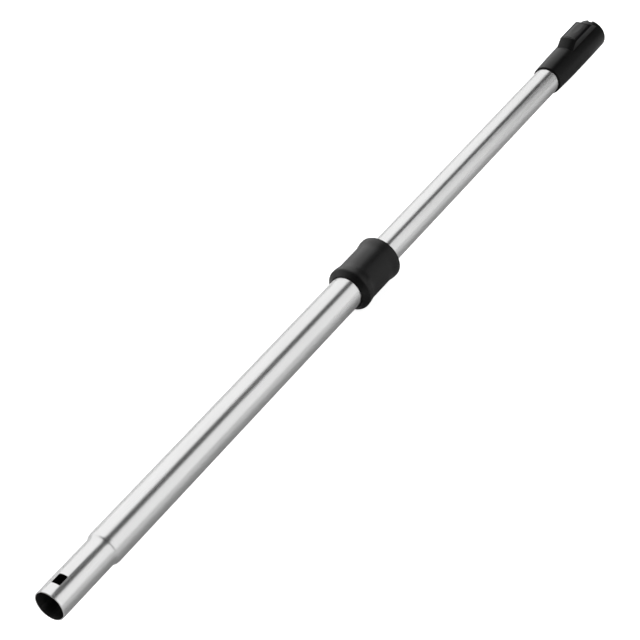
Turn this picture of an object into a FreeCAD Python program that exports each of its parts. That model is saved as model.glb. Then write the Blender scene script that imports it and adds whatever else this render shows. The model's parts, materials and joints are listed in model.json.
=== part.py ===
"""Telescopic vacuum wand.

Two steel tubes slide in each other, a spool-shaped sleeve releases a wedge clamp between them, and a
moulded socket with a rocker latch closes the far end. Millimetres. Stations are counted along the wand
from the open end of the spigot to the mouth of the socket. The wand lies along X on the crests of its
sleeve, drawn out to its full length, with the latch on top (+Z).
"""
import math
import os

import FreeCAD
import Part

# Tubes
inner_od = 30.8
inner_wall = 0.8
outer_wall = 1.0
spigot_od = 32.0
spigot_length = 72.0
neck_length = 7.5
tail_margin = 11.5          # left between the tail ring and the neck when pushed home
exposed_inner = 372.0       # bare inner tube between sleeve and socket when drawn out
park_gap = 7.0              # left between sleeve and socket when pushed home
edge_break = 0.3

# Latch window in the spigot, which a socket of the same pattern hooks into
window_setback = 13.2
window_length = 11.9
window_width = 9.5
window_corner = 0.8

# Groove rolled into the inner tube, which stops the tubes turning and takes the clamp
groove_width = 8.0
groove_depth = 1.2
groove_lap = 11.0           # groove under the tail ring and past the bush at the other end

# Clearances
seat_gap = 0.05             # between pieces that are fixed to each other
run_gap = 0.35              # between pieces that slide past each other
bush_gap = 0.45             # between the guide bush and the inner tube
stop_gap = 0.3              # between end stops at rest
clamp_gap = 0.15            # between the flat faces of the wedge clamp

# Guide bush in the end of the outer tube
bush_wall = 1.1
bush_insert = 23.0
bush_body = 26.0
bush_flange = 1.5           # stands proud of the outer tube
lug_length = 5.4
lug_width = 4.8
lug_setback = 9.0           # from the end of the outer tube to the middle of the lugs
seal_width = 3.0
seal_depth = 0.9
seal_setback = 2.5          # from the rear face of the bush

# Tail ring on the inner tube
tail_ring_length = 25.7
tail_lip = 2.0
tail_seal_width = 6.0
tail_seal_depth = 0.65

# Wedge clamp
shoe_length = 13.4
shoe_setback = 4.3          # from the front of the bush body
wedge_slope = 0.08
release_travel = 10.0
cam_plate_thickness = 0.8
cam_overrun = 0.5

# Release sleeve and its return spring
sleeve_lap = 20.0           # sleeve over the outer tube
front_bevel = 5.5
front_round = 2.6           # where the front bevel meets the crest
rear_round = 1.2
sleeve_floor = 0.65         # from the cam plate's deepest corner to the radius of the waist
sleeve_flare = 1.45         # crest above waist
flare_run = 14.0            # from a crest to the straight waist
sleeve_drop = 0.4           # of the sleeve's outside towards the clamp
front_land = 0.1
spring_room = 15.0
spring_wire = 1.2
spring_turns = 3.25
spring_lift = 2.4           # coil centre line above the inner tube
end_ring_thickness = 4.0
end_ring_rim = 2.4          # sleeve wall round the end ring

# Socket
tube_seat = 40.0
shoulder = 8.0
bore_depth = 65.0
bore_gap = 0.25             # in the mouth of the socket
seat_bore_gap = 0.08        # past the hook, where the end of a spigot seats
seat_step = 1.5             # from the hook's slot to the wider mouth
socket_wall = 2.05
socket_lip = 1.75
socket_flare = 44.0         # length over which the socket swells to its full size
flare_bulge = 0.15
mouth_chamfer = 0.6
mouth_round = 0.7
key_notch_width = 5.4       # notch in the mouth's rim, over which a handle's key sits
key_notch_depth = 3.0
seal_ring_width = 2.5
seal_ring_lip = 1.3

# Rocker latch
floor_wall = 1.65           # between the bore and the latch pocket
latch_height = 8.5          # top of the latch above its pocket floor
crown_r = 21.0              # of the latch's crowned top, from side to side
button_width = 16.2
button_skin = 1.6
button_round = 1.2
button_lead = 5.8           # button in front of its hook
press_arm = 13.5
press_angle = 10.0          # degrees, from rest to fully pressed
pivot_arm = 15.5            # from the hook's face to the pivot
pivot_height = 2.7
pin_diameter = 2.4
pin_gap = 0.03
hook_reach = 2.35
hook_play = 1.3
hook_width = 8.6
hook_tip = 2.3
button_gap = 0.4
dish_depth = 0.35
dish_length = 24.0
housing_wall = 1.7
ramp_run = 9.6
front_wall = 1.4
back_wall = 1.4
back_slope = 0.7
hump_round = 1.0
hump_bend = 0.7             # where the ramp and the back meet the crown
pocket_flare = 0.7
latch_wire = 0.5
latch_coil = 3.4
latch_turns = 3.5
latch_spring_arm = 9.0

# Spring wire as drawn
wire_sides = 8
sections_per_turn = 14

# Radii worked out from the tubes inwards and outwards
inner_r = inner_od / 2
airway_r = inner_r - inner_wall
bush_bore_r = inner_r + bush_gap
insert_r = bush_bore_r + bush_wall
outer_bore_r = insert_r + seat_gap
outer_r = outer_bore_r + outer_wall
spigot_r = spigot_od / 2
bush_r = outer_r + bush_flange
sleeve_bore_r = outer_r + run_gap
cavity_r = bush_r + run_gap
groove_floor = inner_r - groove_depth
bore_r = spigot_r + bore_gap
seat_r = spigot_r + seat_bore_gap
socket_r = max(bore_r, inner_r) + socket_wall

# Stations
travel = exposed_inner - park_gap
neck_end = spigot_length + neck_length
tail_front = neck_end + tail_margin + travel
tube_tail = tail_front + tail_lip
tail_rear = tail_front + tail_ring_length
bush_front = tail_rear + stop_gap
outer_end = bush_front + bush_insert
bush_rear = outer_end + bush_body
sleeve_front = outer_end - sleeve_lap
ring_front = bush_rear + spring_room
sleeve_rear = ring_front + end_ring_thickness
socket_front = sleeve_rear + exposed_inner
tube_end = socket_front + tube_seat
bore_bottom = tube_end + shoulder
socket_end = bore_bottom + bore_depth

# Wedge clamp: the shoe's foot and the cam plate fall along one slope towards the socket
shoe_front = outer_end + shoe_setback
shoe_rear = shoe_front + shoe_length
shoe_foot = bush_r + run_gap
shoe_width = groove_width - 2 * run_gap
cam_front = shoe_front - cam_overrun
cam_rear = shoe_rear + release_travel + cam_overrun
cam_width = shoe_width + 2 * run_gap

# Sleeve radii: the waist leaves a floor under the deep end of the cam plate
cam_depth = clamp_gap + wedge_slope * (cam_rear - shoe_front) + cam_plate_thickness
waist_r = math.hypot(shoe_foot + cam_depth - sleeve_drop, cam_width / 2) + sleeve_floor
crest_r = waist_r + sleeve_flare
axis_height = crest_r + sleeve_drop
ring_r = crest_r - sleeve_drop - end_ring_rim

# Latch stations and heights
window_front = bore_bottom + window_setback
hook_front = window_front + hook_play
hook_rear = window_front + window_length - 1.5 * hook_play
pivot_station = hook_front + pivot_arm
button_front = hook_front - button_lead
button_rear = pivot_station + press_arm
pocket_front = button_front - button_gap
ramp_top = pocket_front - front_wall
ramp_base = ramp_top - ramp_run
pocket_floor = bore_r + floor_wall
pivot_z = pocket_floor + pivot_height
hump_top = pocket_floor + latch_height
crown_z = hump_top - crown_r
hook_z = bore_r - hook_reach
button_half = button_width / 2
pocket_half = button_half + button_gap
hump_half = pocket_half + housing_wall
pocket_rear = pivot_station + math.sqrt((press_arm + button_gap) ** 2 - (hump_top - pivot_z) ** 2)
back_top = pocket_rear + back_wall
back_foot = math.sqrt(socket_r ** 2 - hump_half ** 2)
hump_end = back_top + (hump_top - back_foot) / back_slope
pin_r = pin_diameter / 2
spring_station = pivot_station + latch_spring_arm
button_roof = crown_z + math.sqrt(crown_r ** 2 - button_half ** 2) - button_skin


def point(pair):
    """A station and a height (or radius) as a point in the wand's upright middle plane."""
    return FreeCAD.Vector(pair[0], 0, pair[1])


def outline(start, *steps):
    """A closed face from straight steps (station, height) and arcs ((middle), (end))."""
    edges = []
    here = start
    for step in steps + (start,):
        if isinstance(step[0], tuple):
            middle, end = step
            curve = Part.Arc(point(here), point(middle), point(end))
        else:
            end = step
            curve = Part.LineSegment(point(here), point(end))
        edges.append(curve.toShape())
        here = end
    return Part.Face(Part.Wire(edges))


def turned(start, *steps):
    """A body of revolution about the wand's axis."""
    return outline(start, *steps).revolve(FreeCAD.Vector(0, 0, 0), FreeCAD.Vector(1, 0, 0), 360)


def ring(front, rear, inside, outside):
    """A plain ring about the wand's axis."""
    return turned((front, inside), (rear, inside), (rear, outside), (front, outside))


def slab(half_width, start, *steps):
    """A side outline given its width, equal on both sides of the wand."""
    face = outline(start, *steps)
    face.translate(FreeCAD.Vector(0, -half_width, 0))
    return face.extrude(FreeCAD.Vector(0, 2 * half_width, 0))


def block(front, rear, half_width, low, high):
    """A box across the wand."""
    return Part.makeBox(rear - front, 2 * half_width, high - low, FreeCAD.Vector(front, -half_width, low))


def cross_rod(station, height, radius, left, right):
    """A round rod across the wand, from one side distance to another."""
    start = FreeCAD.Vector(station, left, height)
    return Part.makeCylinder(radius, right - left, start, FreeCAD.Vector(0, 1, 0))


def s_bend(start, end):
    """Two equal arcs that leave start and reach end along the wand's axis."""
    run = (end[0] - start[0]) / 2
    rise = (end[1] - start[1]) / 2
    half_turn = math.atan(rise / run)
    radius = run / math.sin(2 * half_turn)
    lead = radius * math.sin(half_turn)
    climb = radius * (1 - math.cos(half_turn))
    middle = (start[0] + run, start[1] + rise)
    first_arc = ((start[0] + lead, start[1] + climb), middle)
    second_arc = ((end[0] - lead, end[1] - climb), end)
    return first_arc, second_arc


def wire_ring(centre, outward, along, wire):
    """One eight-sided section of a spring's wire."""
    upward = along.cross(outward)
    corners = []
    for side in range(wire_sides):
        angle = 2 * math.pi * side / wire_sides
        reach = outward * math.cos(angle) + upward * math.sin(angle)
        corners.append(centre + reach * (wire / 2))
    return Part.makePolygon(corners + corners[:1])


def coil(radius, wire, turns, length):
    """A spring standing on the origin along +Z, lofted through sections of its wire."""
    rise = length - wire
    count = math.ceil(turns * sections_per_turn)
    sections = []
    for step in range(count + 1):
        share = step / count
        angle = 2 * math.pi * turns * share
        outward = FreeCAD.Vector(math.cos(angle), math.sin(angle), 0)
        along = FreeCAD.Vector(-math.sin(angle), math.cos(angle), rise / (2 * math.pi * turns * radius))
        centre = outward * radius + FreeCAD.Vector(0, 0, wire / 2 + rise * share)
        sections.append(wire_ring(centre, outward, along.normalize(), wire))
    return Part.makeLoft(sections, True, True)


def wedge_height(station, below_foot):
    """Height of the clamp's slope at a station, a given distance under the shoe's foot."""
    return -shoe_foot - below_foot - wedge_slope * (station - shoe_front)


def latch_window():
    """Square hole with rounded corners in the top of the spigot."""
    hole = block(window_setback, window_setback + window_length, window_width / 2, 0, 2 * spigot_r)
    upright = [edge for edge in hole.Edges if abs(edge.tangentAt(edge.FirstParameter).z) > 0.5]
    return hole.makeFillet(window_corner, upright)


def lug_row(gap, inside, outside):
    """The two side lugs that hold the bush in the outer tube, or their holes with a gap."""
    middle = outer_end - lug_setback
    half_length = lug_length / 2 + gap
    half_width = lug_width / 2 + gap
    bar = Part.makeBox(2 * half_length, 2 * outside, 2 * half_width,
                       FreeCAD.Vector(middle - half_length, -outside, -half_width))
    return bar.common(ring(middle - half_length, middle + half_length, inside, outside))


def outer_tube():
    """Steel tube with a necked spigot, its latch window and the holes for the bush."""
    bore = spigot_r - outer_wall
    tube = turned(
        (0, bore + edge_break),
        (edge_break, bore),
        (spigot_length, bore),
        *s_bend((spigot_length, bore), (neck_end, outer_bore_r)),
        (outer_end, outer_bore_r),
        (outer_end, outer_r),
        (neck_end, outer_r),
        *s_bend((neck_end, outer_r), (spigot_length, spigot_r)),
        (edge_break, spigot_r),
        (0, spigot_r - edge_break),
    )
    holes = lug_row(seat_gap, outer_bore_r - outer_wall, outer_r + outer_wall)
    return tube.cut(latch_window()).cut(holes)


def groove_bar(front, rear, half_width, floor):
    """The stretch of tube that the rolled groove takes up, outside or inside the wall."""
    return block(front, rear, half_width, -2 * inner_r, -floor)


def inner_tube():
    """Thin steel tube with an even wall that dips inwards along its rolled groove."""
    front = tail_rear - groove_lap
    rear = bush_rear + travel + groove_lap
    outside = turned((tube_tail, 0), (tube_tail, inner_r), (tube_end, inner_r), (tube_end, 0))
    outside = outside.cut(groove_bar(front, rear, groove_width / 2, groove_floor))
    inside = turned((tube_tail, 0), (tube_tail, airway_r), (tube_end, airway_r), (tube_end, 0))
    inside = inside.cut(groove_bar(front - inner_wall, rear + inner_wall,
                                   groove_width / 2 + inner_wall, groove_floor - inner_wall))
    return outside.cut(inside)


def guide_bush():
    """Bush that guides the inner tube, with a key in its groove and a window for the clamp."""
    groove_rear = bush_rear - seal_setback
    groove_front = groove_rear - seal_width
    bush = turned(
        (bush_front, bush_bore_r),
        (groove_front, bush_bore_r),
        (groove_front, bush_bore_r + seal_depth),
        (groove_rear, bush_bore_r + seal_depth),
        (groove_rear, bush_bore_r),
        (bush_rear, bush_bore_r),
        (bush_rear, bush_r - edge_break),
        (bush_rear - edge_break, bush_r),
        (outer_end, bush_r),
        (outer_end, insert_r),
        (bush_front + edge_break, insert_r),
        (bush_front, insert_r - edge_break),
    )
    key_floor = (insert_r + bush_bore_r) / 2
    key = block(bush_front, outer_end, shoe_width / 2, -key_floor, -groove_floor - bush_gap)
    key = key.common(ring(bush_front, outer_end, 0, key_floor))
    lugs = lug_row(0, bush_bore_r + bush_wall / 2, outer_r - seat_gap)
    window = block(shoe_front - run_gap, shoe_rear + run_gap, shoe_width / 2 + run_gap, -2 * bush_r, 0)
    return bush.fuse([key, lugs]).cut(window)


def bush_seal():
    """Soft ring in the bush that wipes the inner tube, with a tongue in its groove."""
    rear = bush_rear - seal_setback - seat_gap
    front = rear - seal_width + 2 * seat_gap
    outside = bush_bore_r + seal_depth - seat_gap
    wiper = ring(front, rear, inner_r + stop_gap, outside)
    tongue = block(front, rear, shoe_width / 2, -bush_bore_r, -groove_floor - stop_gap)
    tongue = tongue.common(ring(front, rear, 0, outside))
    return wiper.fuse(tongue).removeSplitter()


def tail_ring():
    """Guide ring pushed over the tail of the inner tube, with a channel for its seal."""
    outside = outer_bore_r - run_gap
    inside = inner_r + seat_gap
    channel_front = (tail_front + tail_rear - tail_seal_width) / 2
    channel_rear = channel_front + tail_seal_width
    return turned(
        (tail_front, airway_r),
        (tube_tail, airway_r),
        (tube_tail, inside),
        (tail_rear, inside),
        (tail_rear, outside),
        (channel_rear, outside),
        (channel_rear, outside - tail_seal_depth),
        (channel_front, outside - tail_seal_depth),
        (channel_front, outside),
        (tail_front + 2 * edge_break, outside),
        (tail_front, outside - 2 * edge_break),
    )


def tail_seal():
    """Felt ring in the tail ring's channel, a little prouder than the ring."""
    middle = (tail_front + tail_rear) / 2
    half = tail_seal_width / 2 - seat_gap
    floor = outer_bore_r - run_gap - tail_seal_depth + seat_gap
    return ring(middle - half, middle + half, floor, outer_bore_r - stop_gap)


def clamp_shoe():
    """Wedge that is pressed into the groove of the inner tube."""
    top = -groove_floor - clamp_gap
    return slab(
        shoe_width / 2,
        (shoe_front, top),
        (shoe_rear, top),
        (shoe_rear, wedge_height(shoe_rear, 0)),
        (shoe_front, wedge_height(shoe_front, 0)),
    )


def cam_plate():
    """Steel strip in the sleeve that carries the wedge."""
    return slab(
        cam_width / 2,
        (cam_front, wedge_height(cam_front, clamp_gap)),
        (cam_rear, wedge_height(cam_rear, clamp_gap)),
        (cam_rear, wedge_height(cam_rear, clamp_gap + cam_plate_thickness)),
        (cam_front, wedge_height(cam_front, clamp_gap + cam_plate_thickness)),
    )


def cam_seat():
    """Sloping channel in the sleeve for the cam plate, open towards the tube."""
    front = cam_front - seat_gap
    rear = cam_rear + seat_gap
    return slab(
        cam_width / 2 + seat_gap,
        (front, 0),
        (rear, 0),
        (rear, wedge_height(rear, clamp_gap + cam_plate_thickness)),
        (front, wedge_height(front, clamp_gap + cam_plate_thickness)),
    )


def release_sleeve():
    """Spool-shaped grip with a straight waist, a bevelled front and a land that stops on the bush."""
    foot_r = sleeve_bore_r + edge_break + sleeve_drop + front_land
    bevel_angle = math.atan2(crest_r - foot_r, front_bevel)
    crest_front = sleeve_front + front_bevel + front_round * math.tan(bevel_angle / 2)
    round_start = (crest_front - front_round * math.sin(bevel_angle),
                   crest_r - front_round * (1 - math.cos(bevel_angle)))
    round_middle = (crest_front - front_round * math.sin(bevel_angle / 2),
                    crest_r - front_round * (1 - math.cos(bevel_angle / 2)))
    crest_rear = sleeve_rear - rear_round
    rear_drop = rear_round * (1 - math.sqrt(0.5))
    waist_front = (crest_front + flare_run, waist_r)
    waist_rear = (crest_rear - flare_run, waist_r)
    land_rear = outer_end - stop_gap
    spool = turned(
        (sleeve_front, 0),
        (sleeve_rear, 0),
        (sleeve_rear, crest_r - rear_round),
        ((sleeve_rear - rear_drop, crest_r - rear_drop), (crest_rear, crest_r)),
        *s_bend((crest_rear, crest_r), waist_rear),
        waist_front,
        *s_bend(waist_front, (crest_front, crest_r)),
        (round_middle, round_start),
        (sleeve_front, foot_r),
    )
    spool.translate(FreeCAD.Vector(0, 0, -sleeve_drop))
    hollow = turned(
        (sleeve_front, 0),
        (sleeve_front, sleeve_bore_r + edge_break),
        (sleeve_front + edge_break, sleeve_bore_r),
        (land_rear, sleeve_bore_r),
        (land_rear, cavity_r),
        (ring_front, cavity_r),
        (ring_front, ring_r),
        (sleeve_rear, ring_r),
        (sleeve_rear, 0),
    )
    return spool.cut([hollow, cam_seat()])


def sleeve_end_ring():
    """Ring that closes the back of the sleeve and carries the return spring."""
    inside = inner_r + run_gap
    outside = ring_r - seat_gap
    return turned(
        (ring_front, inside),
        (sleeve_rear - 2 * edge_break, inside),
        (sleeve_rear, inside + 2 * edge_break),
        (sleeve_rear, outside - edge_break),
        (sleeve_rear - edge_break, outside),
        (ring_front, outside),
    )


def sleeve_spring():
    """Return spring round the inner tube, between the bush and the end ring."""
    spring = coil(inner_r + spring_lift, spring_wire, spring_turns, spring_room - 2 * seat_gap)
    spring.rotate(FreeCAD.Vector(0, 0, 0), FreeCAD.Vector(0, 1, 0), 90)
    spring.translate(FreeCAD.Vector(bush_rear + seat_gap, 0, 0))
    return spring


def crown_rod(start, along, length):
    """A rod of the crown's radius, with its seam turned away from the top."""
    rod = Part.makeCylinder(crown_r, length, start, along)
    rod.rotate(start, along, 180)
    return rod


def crowned_bar(half_width, shoulder):
    """A bar along the wand under the latch's crown, with rounded shoulders."""
    crown = crown_rod(FreeCAD.Vector(ramp_base, 0, crown_z), FreeCAD.Vector(1, 0, 0), hump_end - ramp_base)
    bar = crown.common(block(ramp_base, hump_end, half_width, 0, 2 * hump_top))
    shoulders = [edge for edge in bar.Edges
                 if edge.CenterOfMass.z > pocket_floor and abs(edge.CenterOfMass.y) > half_width - shoulder
                 and edge.BoundBox.XLength > ramp_run]
    return bar.makeFillet(shoulder, shoulders)


def latch_hump():
    """Raised housing of the latch: a crowned ramp, a crowned top and a falling back."""
    side = slab(
        hump_half,
        (ramp_base, 0),
        (ramp_base, socket_r),
        (ramp_top, hump_top),
        (back_top, hump_top),
        (hump_end, back_foot),
        (hump_end, 0),
    )
    climb = FreeCAD.Vector(ramp_top - ramp_base, 0, hump_top - socket_r).normalize()
    under = FreeCAD.Vector(climb.z, 0, -climb.x) * crown_r
    foot = FreeCAD.Vector(ramp_base, 0, socket_r) + under - climb * crown_r
    behind = block(pocket_front, hump_end, hump_half, 0, 2 * hump_top)
    room = crown_rod(foot, climb, 4 * crown_r).fuse(behind)
    hump = side.common(crowned_bar(hump_half, hump_round)).common(room).removeSplitter()
    bends = [edge for edge in hump.Edges
             if edge.BoundBox.ZMin > socket_r and edge.BoundBox.YLength > hump_round]
    return hump.makeFillet(hump_bend, bends)


def latch_room(half_width, front, reach):
    """The space swept by the rocker: straight in front, round about its pivot behind."""
    swing = cross_rod(pivot_station, pivot_z, reach, -half_width, half_width)
    behind = swing.common(block(pivot_station, pivot_station + reach, half_width, 0, 2 * hump_top))
    return block(front, pivot_station, half_width, 0, 2 * hump_top).fuse(behind)


def pocket():
    """Pocket of the latch above its floor, flared along both sides."""
    wide = pocket_half + pocket_flare
    high = crown_z + math.sqrt(crown_r ** 2 - wide ** 2)
    low = high - 2 * pocket_flare
    corners = [(-pocket_half, low), (pocket_half, low), (wide, high), (wide, 2 * high), (-wide, 2 * high),
               (-wide, high), (-pocket_half, low)]
    wire = Part.makePolygon([FreeCAD.Vector(pocket_front, y, z) for y, z in corners])
    flare = Part.Face(wire).extrude(FreeCAD.Vector(pocket_rear - pocket_front, 0, 0))
    room = latch_room(pocket_half, pocket_front, press_arm + button_gap)
    above = block(pocket_front, hump_end, pocket_half, pocket_floor, 2 * hump_top)
    return room.common(above).fuse(flare)


def handle_socket():
    """Moulded socket on the inner tube: swelling front, latch housing, bore and seats."""
    lip_r = inner_r + seat_gap + socket_lip
    stop_r = min(airway_r, seat_r - seal_ring_lip)
    slot_rear = hook_rear + button_gap
    mouth_front = slot_rear + seat_step
    full = socket_front + socket_flare
    swell = ((socket_front + full) / 2, (lip_r + socket_r) / 2 + flare_bulge)
    round_drop = mouth_round * (1 - math.sqrt(0.5))
    shell = turned(
        (socket_front, 0),
        (socket_front, lip_r - 2 * edge_break),
        (socket_front + 2 * edge_break, lip_r),
        (swell, (full, socket_r)),
        (socket_end - mouth_round, socket_r),
        ((socket_end - round_drop, socket_r - round_drop), (socket_end, socket_r - mouth_round)),
        (socket_end, 0),
    )
    hollow = turned(
        (socket_front, 0),
        (socket_front, inner_r + seat_gap),
        (tube_end, inner_r + seat_gap),
        (tube_end, stop_r),
        (bore_bottom, stop_r),
        (bore_bottom, seat_r),
        (mouth_front, seat_r),
        (mouth_front, bore_r),
        (socket_end - mouth_chamfer, bore_r),
        (socket_end, bore_r + mouth_chamfer),
        (socket_end, 0),
    )
    slot = block(hook_front - hook_play, slot_rear, hook_width / 2 + button_gap, 0, pocket_floor)
    pin_half = pocket_half + housing_wall / 2
    pin_hole = cross_rod(pivot_station, pivot_z, pin_r + pin_gap, -pin_half, pin_half)
    notch = block(socket_end - key_notch_depth, socket_end, key_notch_width / 2, 0, 2 * socket_r)
    return shell.fuse(latch_hump()).cut([hollow, pocket(), slot, pin_hole, notch])


def socket_seal():
    """Rubber ring at the bottom of the bore, against which a spigot seats."""
    return ring(bore_bottom, bore_bottom + seal_ring_width, seat_r - seal_ring_lip, seat_r - seat_gap)


def latch_pin():
    """Steel pivot pin of the latch, held in blind holes."""
    pin_half = pocket_half + housing_wall / 2 - seat_gap
    return cross_rod(pivot_station, pivot_z, pin_r, -pin_half, pin_half)


def latch_button():
    """Hollow rocker with a dished top, a hook at one end and the press pad at the other."""
    low = pocket_floor + button_gap
    pad_low = low + (button_rear - pivot_station) * math.sin(math.radians(press_angle))
    heel = pivot_station + pin_diameter
    button = slab(
        button_half,
        (button_front, low),
        (button_front, hump_top - hump_round),
        (button_front + hump_round, hump_top),
        (button_rear, hump_top),
        (button_rear, pad_low),
        (heel, low + button_gap),
    )
    button = button.common(crowned_bar(button_half, button_round))
    button = button.common(latch_room(button_half, button_front, press_arm))
    inside_front = hook_rear + button_skin
    inside = block(inside_front, button_rear - button_skin, button_half - button_skin, 0, button_roof)
    boss_r = pivot_height - button_gap
    boss = cross_rod(pivot_station, pivot_z, boss_r, -button_half, button_half)
    boss = boss.cut(block(inside_front, button_rear, button_half / 2, 0, 2 * hump_top))
    hook = slab(
        hook_width / 2,
        (hook_front, hump_top - button_skin),
        (hook_front, hook_z),
        (hook_front + hook_tip, hook_z),
        (hook_rear, bore_r + button_gap),
        (hook_rear, hump_top - button_skin),
    )
    bulge = dish_length ** 2 / (8 * dish_depth) + dish_depth / 2
    dish = cross_rod(pivot_station, hump_top - dish_depth + bulge, bulge, -button_half, button_half)
    nub = Part.makeCylinder(latch_coil / 2 - latch_wire, button_skin,
                            FreeCAD.Vector(spring_station, 0, button_roof - button_skin / 2))
    bore = cross_rod(pivot_station, pivot_z, pin_r + pin_gap, -button_half, button_half)
    return button.cut(inside).fuse([boss, hook, nub]).cut([bore, dish])


def latch_spring():
    """Small coil under the press pad that keeps the hook down."""
    spring = coil(latch_coil / 2, latch_wire, latch_turns, button_roof - pocket_floor - 2 * seat_gap)
    spring.translate(FreeCAD.Vector(spring_station, 0, pocket_floor + seat_gap))
    return spring


pieces = [
    outer_tube, guide_bush, bush_seal, inner_tube, tail_ring, tail_seal, clamp_shoe, cam_plate,
    release_sleeve, sleeve_end_ring, sleeve_spring, handle_socket, socket_seal, latch_pin,
    latch_button, latch_spring,
]
os.makedirs("parts", exist_ok=True)
to_frame = FreeCAD.Vector(-socket_end / 2, 0, axis_height)
for piece in pieces:
    shape = piece()
    shape.translate(to_frame)
    shape.exportStep("parts/" + piece.__name__ + ".step")
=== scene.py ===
"""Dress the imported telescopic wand: materials, round-wire springs, studio light and camera."""
import json
import math

import bpy
from mathutils import Matrix, Vector


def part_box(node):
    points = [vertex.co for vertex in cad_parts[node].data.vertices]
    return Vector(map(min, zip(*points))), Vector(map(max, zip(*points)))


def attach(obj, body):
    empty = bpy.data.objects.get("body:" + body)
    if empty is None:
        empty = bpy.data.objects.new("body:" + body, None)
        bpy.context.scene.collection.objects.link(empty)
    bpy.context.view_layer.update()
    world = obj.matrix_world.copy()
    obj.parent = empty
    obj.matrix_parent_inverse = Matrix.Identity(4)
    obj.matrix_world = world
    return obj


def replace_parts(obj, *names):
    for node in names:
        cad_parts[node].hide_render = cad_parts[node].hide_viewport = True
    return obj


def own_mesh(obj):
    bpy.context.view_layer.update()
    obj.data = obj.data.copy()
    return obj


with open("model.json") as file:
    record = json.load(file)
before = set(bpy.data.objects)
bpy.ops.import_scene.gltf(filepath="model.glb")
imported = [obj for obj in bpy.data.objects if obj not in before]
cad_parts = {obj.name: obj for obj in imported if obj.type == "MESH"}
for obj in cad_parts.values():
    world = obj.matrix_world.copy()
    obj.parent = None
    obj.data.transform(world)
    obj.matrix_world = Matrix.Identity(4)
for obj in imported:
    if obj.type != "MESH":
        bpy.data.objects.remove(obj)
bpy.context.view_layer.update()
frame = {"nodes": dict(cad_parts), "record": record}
nodes = frame["nodes"]
tube_low, tube_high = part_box("outer_tube")
AXIS_Z = (tube_low.z + tube_high.z) / 2
WAND_FRONT = tube_low.x
ALONG_WAND = Vector((1, 0, 0))
UPWARD = Vector((0, 0, 1))

# Camera, read from the photograph: the wand's axis rises across the picture
AIM_STATION = 0.435             # of the point aimed at, behind the open end of the spigot
AIM_ACROSS = 0.00012
AIM_UP = 0.0001
CAMERA_DISTANCE = 1.992
CAMERA_BACK = Vector((-0.63, -0.478, 0.612)).normalized()
AXIS_RISE = math.radians(46.576)
LENS = 112.76
SENSOR = 36.0
CLIP_END = 100.0

# Textures: scales are waves per metre along X, Y and Z, and pairs are what is added to the roughness
NOISE_LOW, NOISE_HIGH = 0.3, 0.7    # the stretch of a noise that spans a range or a tint
EVEN = (1, 1, 1)                    # for a texture that runs no way in particular
SMUDGE_SCALE = (9, 60, 60)
SMUDGE_GLOSS = (-0.015, 0.025)
LINE_GLOSS = (-0.008, 0.008)
LINE_STRENGTH = 0.25
# Painted shade in the tubes' bores: a dark colour, mottled by a noise, wherever a surface faces the axis
BORE_SHADE_MOTTLE_SCALE = (12, 160, 160)
BORE_SHADE_DARK = (0.06, 0.06, 0.06)
BORE_SHADE_LIGHT = (0.15, 0.147, 0.143)
BORE_ROUGHNESS = 0.6
FACES_AXIS = -0.8                   # cosine to the way out from the axis, below which a surface is a bore
RUB_SCALE = (18, 45, 45)
RUB_GLOSS = (-0.05, 0.06)
MOULD_STRENGTH = 0.35
PLASTIC_IOR = 1.45
FIBRE_SCALE = 2600.0
FIBRE_HEIGHT = 0.0003
FIBRE_STRENGTH = 0.8
FELT_ROUGHNESS = 0.95
FELT_SHEEN = 0.4

# Springs
STEPS_PER_TURN = 40
WIRE_SIDES = 14
SEAT_PLAY = 5e-5                    # between the return spring and each of its seats

# Studio
WORLD_STRENGTH = 0.06
FLOOR_REACH = 30.0
FLOOR_GREY = 0.76
FLOOR_ROUGHNESS = 0.8
FLOOR_SPECULAR = 0.1
FLOOR_GLOW = 0.85


def shader(name):
    """A new node material, with its node tree and its shader."""
    material = bpy.data.materials.new(name)
    material.use_nodes = True
    tree = material.node_tree
    return material, tree, tree.nodes["Principled BSDF"]


def add(tree, kind, **values):
    """A new node with the given properties and socket values."""
    node = tree.nodes.new(kind)
    for key, value in values.items():
        if key in node.inputs:
            node.inputs[key].default_value = value
        else:
            setattr(node, key, value)
    return node


def noise(tree, stretch, scale, detail, roughness=0.5):
    """Noise on object coordinates that are stretched by a scale along each axis."""
    where = add(tree, "ShaderNodeTexCoord")
    place = add(tree, "ShaderNodeMapping", Scale=stretch)
    node = add(tree, "ShaderNodeTexNoise", Scale=scale, Detail=detail, Roughness=roughness)
    tree.links.new(where.outputs["Object"], place.inputs["Vector"])
    tree.links.new(place.outputs["Vector"], node.inputs["Vector"])
    return node.outputs["Fac"]


def spread(tree, value, low, high):
    """A noise mapped to a range."""
    node = add(tree, "ShaderNodeMapRange")
    node.inputs["From Min"].default_value = NOISE_LOW
    node.inputs["From Max"].default_value = NOISE_HIGH
    node.inputs["To Min"].default_value = low
    node.inputs["To Max"].default_value = high
    tree.links.new(value, node.inputs["Value"])
    return node.outputs["Result"]


def tint(tree, value, low, high):
    """A noise turned into a colour between two others."""
    node = add(tree, "ShaderNodeValToRGB")
    first, last = node.color_ramp.elements
    first.position, first.color = NOISE_LOW, (*low, 1)
    last.position, last.color = NOISE_HIGH, (*high, 1)
    tree.links.new(value, node.inputs["Fac"])
    return node.outputs["Color"]


def bump(tree, value, height, strength):
    """A bump of a height in metres."""
    node = add(tree, "ShaderNodeBump", Strength=strength, Distance=height)
    tree.links.new(value, node.inputs["Height"])
    return node.outputs["Normal"]


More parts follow.
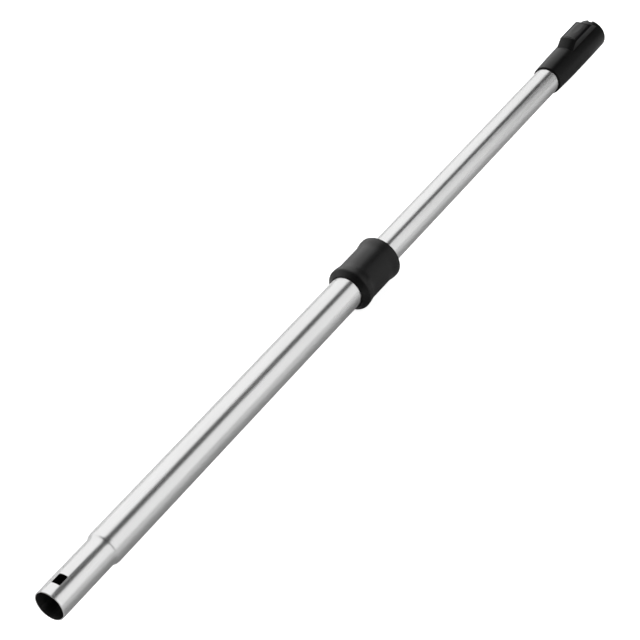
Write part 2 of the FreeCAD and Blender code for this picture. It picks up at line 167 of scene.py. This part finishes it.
def facing_axis(tree):
    """1 on surfaces that face the wand's axis within 37 degrees, such as a bore, and 0 elsewhere."""
    where = add(tree, "ShaderNodeTexCoord")
    arm = add(tree, "ShaderNodeVectorMath", operation="SUBTRACT")
    arm.inputs[1].default_value = (0, 0, AXIS_Z)
    across = add(tree, "ShaderNodeVectorMath", operation="MULTIPLY")
    across.inputs[1].default_value = (0, 1, 1)
    outward = add(tree, "ShaderNodeVectorMath", operation="NORMALIZE")
    dot = add(tree, "ShaderNodeVectorMath", operation="DOT_PRODUCT")
    inward = add(tree, "ShaderNodeMath", operation="LESS_THAN")
    inward.inputs[1].default_value = FACES_AXIS
    tree.links.new(where.outputs["Object"], arm.inputs[0])
    tree.links.new(arm.outputs["Vector"], across.inputs[0])
    tree.links.new(across.outputs["Vector"], outward.inputs[0])
    tree.links.new(outward.outputs["Vector"], dot.inputs[0])
    tree.links.new(where.outputs["Normal"], dot.inputs[1])
    tree.links.new(dot.outputs["Value"], inward.inputs[0])
    return inward.outputs[0]


def steel(name, low, high, gloss, grain, line_height):
    """Steel with fine lines, long where the grain is stretched, and faint smudges."""
    material, tree, bsdf = shader(name)
    lines = noise(tree, grain, scale=1.0, detail=4.0, roughness=0.6)
    smudge = noise(tree, SMUDGE_SCALE, scale=1.0, detail=3.0)
    rough = add(tree, "ShaderNodeMath", operation="ADD")
    tree.links.new(spread(tree, smudge, gloss + SMUDGE_GLOSS[0], gloss + SMUDGE_GLOSS[1]), rough.inputs[0])
    tree.links.new(spread(tree, lines, *LINE_GLOSS), rough.inputs[1])
    bsdf.inputs["Metallic"].default_value = 1.0
    tree.links.new(tint(tree, smudge, low, high), bsdf.inputs["Base Color"])
    tree.links.new(rough.outputs[0], bsdf.inputs["Roughness"])
    tree.links.new(bump(tree, lines, line_height, LINE_STRENGTH), bsdf.inputs["Normal"])
    return material


def tube(name, low, high, gloss, grain, line_height):
    """Drawn steel that is bright outside, and dull in its bore, where painted shade darkens the colour."""
    material = steel(name, low, high, gloss, grain, line_height)
    tree = material.node_tree
    bore = add(tree, "ShaderNodeBsdfPrincipled", Roughness=BORE_ROUGHNESS, Metallic=1.0)
    # Painted shade: the bore's colour is dark, mottled by this noise
    shade_mottle = noise(tree, BORE_SHADE_MOTTLE_SCALE, scale=1.0, detail=4.0, roughness=0.6)
    tree.links.new(tint(tree, shade_mottle, BORE_SHADE_DARK, BORE_SHADE_LIGHT), bore.inputs["Base Color"])
    either = add(tree, "ShaderNodeMixShader")
    tree.links.new(facing_axis(tree), either.inputs[0])
    tree.links.new(tree.nodes["Principled BSDF"].outputs[0], either.inputs[1])
    tree.links.new(bore.outputs[0], either.inputs[2])
    tree.links.new(either.outputs[0], tree.nodes["Material Output"].inputs["Surface"])
    return material


def plastic(name, low, high, gloss, grain_scale, grain_height, ior=PLASTIC_IOR):
    """Moulded plastic or rubber with a fine even texture and faint rub marks."""
    material, tree, bsdf = shader(name)
    grain = noise(tree, EVEN, grain_scale, detail=2.0)
    rub = noise(tree, RUB_SCALE, scale=1.0, detail=5.0, roughness=0.65)
    tree.links.new(tint(tree, rub, low, high), bsdf.inputs["Base Color"])
    tree.links.new(spread(tree, rub, gloss + RUB_GLOSS[0], gloss + RUB_GLOSS[1]), bsdf.inputs["Roughness"])
    tree.links.new(bump(tree, grain, grain_height, MOULD_STRENGTH), bsdf.inputs["Normal"])
    bsdf.inputs["IOR"].default_value = ior
    return material


def felt_fibre(name, low, high):
    """Pressed felt: a soft sheen over tangled fibres."""
    material, tree, bsdf = shader(name)
    fibre = noise(tree, EVEN, FIBRE_SCALE, detail=6.0, roughness=0.7)
    tree.links.new(tint(tree, fibre, low, high), bsdf.inputs["Base Color"])
    tree.links.new(bump(tree, fibre, FIBRE_HEIGHT, FIBRE_STRENGTH), bsdf.inputs["Normal"])
    bsdf.inputs["Roughness"].default_value = FELT_ROUGHNESS
    bsdf.inputs["Sheen Weight"].default_value = FELT_SHEEN
    return material


def grey(value):
    """A neutral colour."""
    return (value, value, value)


materials = {
    "tube_steel": tube("drawn_tube_steel", grey(0.745), grey(0.805), gloss=0.25, grain=(5, 900, 900),
                       line_height=2e-5),
    "clamp_steel": steel("ground_steel", (0.50, 0.51, 0.52), (0.60, 0.61, 0.62), gloss=0.30,
                         grain=(60, 1500, 1500), line_height=3e-5),
    "spring_steel": steel("spring_wire", (0.55, 0.56, 0.57), (0.66, 0.67, 0.68), gloss=0.26,
                          grain=(300, 300, 300), line_height=2e-5),
    "sleeve_plastic": plastic("sleeve_black", grey(0.002), grey(0.004), gloss=0.38, grain_scale=2200.0,
                              grain_height=4e-5, ior=1.335),
    "socket_plastic": plastic("socket_black", grey(0.002), grey(0.004), gloss=0.33, grain_scale=2600.0,
                              grain_height=3e-5, ior=1.23),
    "button_plastic": plastic("button_black", grey(0.004), grey(0.007), gloss=0.38, grain_scale=3000.0,
                              grain_height=2e-5, ior=1.30),
    "bush_plastic": plastic("bush_grey", (0.12, 0.12, 0.125), (0.17, 0.17, 0.175), gloss=0.5,
                            grain_scale=1800.0, grain_height=3e-5),
    "seal_rubber": plastic("seal_rubber", grey(0.016), grey(0.028), gloss=0.62, grain_scale=1400.0,
                           grain_height=5e-5),
    "felt": felt_fibre("grey_felt", (0.26, 0.255, 0.25), (0.42, 0.41, 0.40)),
}
for entry in frame["record"]["subparts"]:
    mesh = nodes[entry["node"]].data
    mesh.materials.clear()
    mesh.materials.append(materials[entry["material_slot"]])


def spring(name, node, coil_r, wire, turns, length, start, along):
    """A round-wire compression spring in place of a faceted one."""
    side = along.orthogonal().normalized()
    other = along.cross(side)
    steps = round(turns * STEPS_PER_TURN)
    climb = (length - wire) / (2 * math.pi * turns * coil_r)
    points = []
    for step in range(steps + 1):
        turn = 2 * math.pi * turns * step / steps
        outward = math.cos(turn) * side + math.sin(turn) * other
        forward = (math.cos(turn) * other - math.sin(turn) * side + climb * along).normalized()
        centre = start + coil_r * outward + (wire / 2 + climb * coil_r * turn) * along
        across = forward.cross(outward)
        for corner in range(WIRE_SIDES):
            angle = 2 * math.pi * corner / WIRE_SIDES
            points.append(centre + wire / 2 * (math.cos(angle) * outward + math.sin(angle) * across))
    front_cap = tuple(range(WIRE_SIDES))[::-1]
    rear_cap = tuple(range(steps * WIRE_SIDES, (steps + 1) * WIRE_SIDES))
    faces = [front_cap, rear_cap]
    for step in range(steps):
        for corner in range(WIRE_SIDES):
            near = step * WIRE_SIDES + corner
            next_near = step * WIRE_SIDES + (corner + 1) % WIRE_SIDES
            faces.append((near, next_near, next_near + WIRE_SIDES, near + WIRE_SIDES))
    mesh = bpy.data.meshes.new(name)
    mesh.from_pydata(points, [], faces)
    mesh.shade_smooth()
    mesh.materials.append(materials["spring_steel"])
    piece = bpy.data.objects.new(name, mesh)
    bpy.context.collection.objects.link(piece)
    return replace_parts(piece, node)


BUSH_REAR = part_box("guide_bush")[1].x
RING_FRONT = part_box("sleeve_end_ring")[0].x
return_spring = spring("return_spring", "sleeve_spring", coil_r=0.0178, wire=0.0012, turns=3.25,
                       length=RING_FRONT - BUSH_REAR - 2 * SEAT_PLAY,
                       start=Vector((BUSH_REAR + SEAT_PLAY, 0, AXIS_Z)), along=ALONG_WAND)
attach(return_spring, "outer")
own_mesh(return_spring)
spring_low, spring_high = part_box("latch_spring")
spring_foot = Vector(((spring_low.x + spring_high.x) / 2, 0, spring_low.z))
pad_spring = spring("pad_spring", "latch_spring", coil_r=0.0017, wire=0.0005, turns=3.5,
                    length=spring_high.z - spring_low.z, start=spring_foot, along=UPWARD)
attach(pad_spring, "inner")
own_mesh(pad_spring)


def panel(name, centre, aim, wide, long, power, twist=0.0):
    """A soft area light whose long side runs along X, or is twisted in its plane by some degrees."""
    light = bpy.data.lights.new(name, "AREA")
    light.shape = "RECTANGLE"
    light.size = long
    light.size_y = wide
    light.energy = power
    lamp = bpy.data.objects.new(name, light)
    back = (centre - aim).normalized()
    along = (ALONG_WAND - ALONG_WAND.dot(back) * back).normalized()
    turn = Matrix((along, back.cross(along), back)).transposed().to_4x4()
    lamp.matrix_world = Matrix.Translation(centre) @ turn @ Matrix.Rotation(math.radians(twist), 4, "Z")
    bpy.context.collection.objects.link(lamp)
    return lamp


def around(angle_deg, reach, x):
    """A point round the wand's axis, by its angle from straight up towards +Y."""
    angle = math.radians(angle_deg)
    return Vector((x, reach * math.sin(angle), AXIS_Z + reach * math.cos(angle)))


def softbox(name, angle, reach, x, **size):
    """A panel that faces the wand's axis squarely from an angle round it."""
    return panel(name, around(angle, reach, x), around(angle, 0.0, x), **size)


# The dark stripe along the steel is the gap between the left and the right panel
softbox("left_softbox", angle=42.25, reach=3.2, x=2.175, wide=6.018, long=7.05, power=138)
softbox("right_softbox", angle=-63.6, reach=1.7, x=0.6, wide=2.02, long=3.3, power=19.4, twist=6.0)
# A narrow strip in that gap, which lightens the stripe along the inner tube
softbox("end_softbox", angle=-30.4, reach=2.03, x=2.075, wide=0.2, long=0.75, power=0.43)
# Lights the floor behind the wand; its reflection would burn a spot on the neck and on the sleeve's bevel
far_softbox = panel("far_softbox", Vector((0.0, 1.76, 1.3)), Vector((0.0, 0.0, 0.0)),
                    wide=1.0, long=1.6, power=32)
far_softbox.visible_glossy = False
# Lights the black plastics alone, which the photograph shows with more contrast than the steel
sheen_softbox = softbox("sheen_softbox", angle=45.7, reach=3.1, x=1.5, wide=5.33, long=8.4, power=140.5)
black_plastics = bpy.data.collections.new("black_plastics")
for name in ("release_sleeve", "sleeve_end_ring", "handle_socket", "latch_button"):
    black_plastics.objects.link(nodes[name])
sheen_softbox.light_linking.receiver_collection = black_plastics

world = bpy.data.worlds.new("studio")
bpy.context.scene.world = world
world.use_nodes = True
background = world.node_tree.nodes["Background"]
background.inputs["Color"].default_value = (*grey(1), 1)
background.inputs["Strength"].default_value = WORLD_STRENGTH

floor_mesh = bpy.data.meshes.new("floor")
corners = [(x * FLOOR_REACH, y * FLOOR_REACH, 0) for x, y in ((-1, -1), (1, -1), (1, 1), (-1, 1))]
floor_mesh.from_pydata(corners, [], [(0, 1, 2, 3)])
floor = bpy.data.objects.new("floor", floor_mesh)
bpy.context.collection.objects.link(floor)
floor_paint, floor_tree, floor_bsdf = shader("pale_floor")
floor_bsdf.inputs["Base Color"].default_value = (*grey(FLOOR_GREY), 1)
floor_bsdf.inputs["Roughness"].default_value = FLOOR_ROUGHNESS
floor_bsdf.inputs["Specular IOR Level"].default_value = FLOOR_SPECULAR
# The camera alone sees the floor glow, so it shows white while the steel mirrors a plain pale floor
floor_glow = add(floor_tree, "ShaderNodeEmission", Strength=FLOOR_GLOW)
seen = add(floor_tree, "ShaderNodeLightPath")
lit = add(floor_tree, "ShaderNodeAddShader")
either = add(floor_tree, "ShaderNodeMixShader")
floor_tree.links.new(floor_bsdf.outputs[0], lit.inputs[0])
floor_tree.links.new(floor_glow.outputs[0], lit.inputs[1])
floor_tree.links.new(seen.outputs["Is Camera Ray"], either.inputs[0])
floor_tree.links.new(floor_bsdf.outputs[0], either.inputs[1])
floor_tree.links.new(lit.outputs[0], either.inputs[2])
floor_tree.links.new(either.outputs[0], floor_tree.nodes["Material Output"].inputs["Surface"])
floor_mesh.materials.append(floor_paint)

target = Vector((WAND_FRONT + AIM_STATION, AIM_ACROSS, AXIS_Z + AIM_UP))
axis_in_view = (ALONG_WAND - CAMERA_BACK.x * CAMERA_BACK).normalized()
right = math.cos(AXIS_RISE) * axis_in_view - math.sin(AXIS_RISE) * CAMERA_BACK.cross(axis_in_view)
up = CAMERA_BACK.cross(right)
camera_data = bpy.data.cameras.new("camera")
camera_data.lens = LENS
camera_data.sensor_width = SENSOR
camera_data.clip_end = CLIP_END
camera = bpy.data.objects.new("camera", camera_data)
turn = Matrix((right, up, CAMERA_BACK)).transposed().to_4x4()
camera.matrix_world = Matrix.Translation(target + CAMERA_DISTANCE * CAMERA_BACK) @ turn
bpy.context.collection.objects.link(camera)
bpy.context.scene.camera = camera
bpy.context.scene.view_settings.view_transform = "Standard"
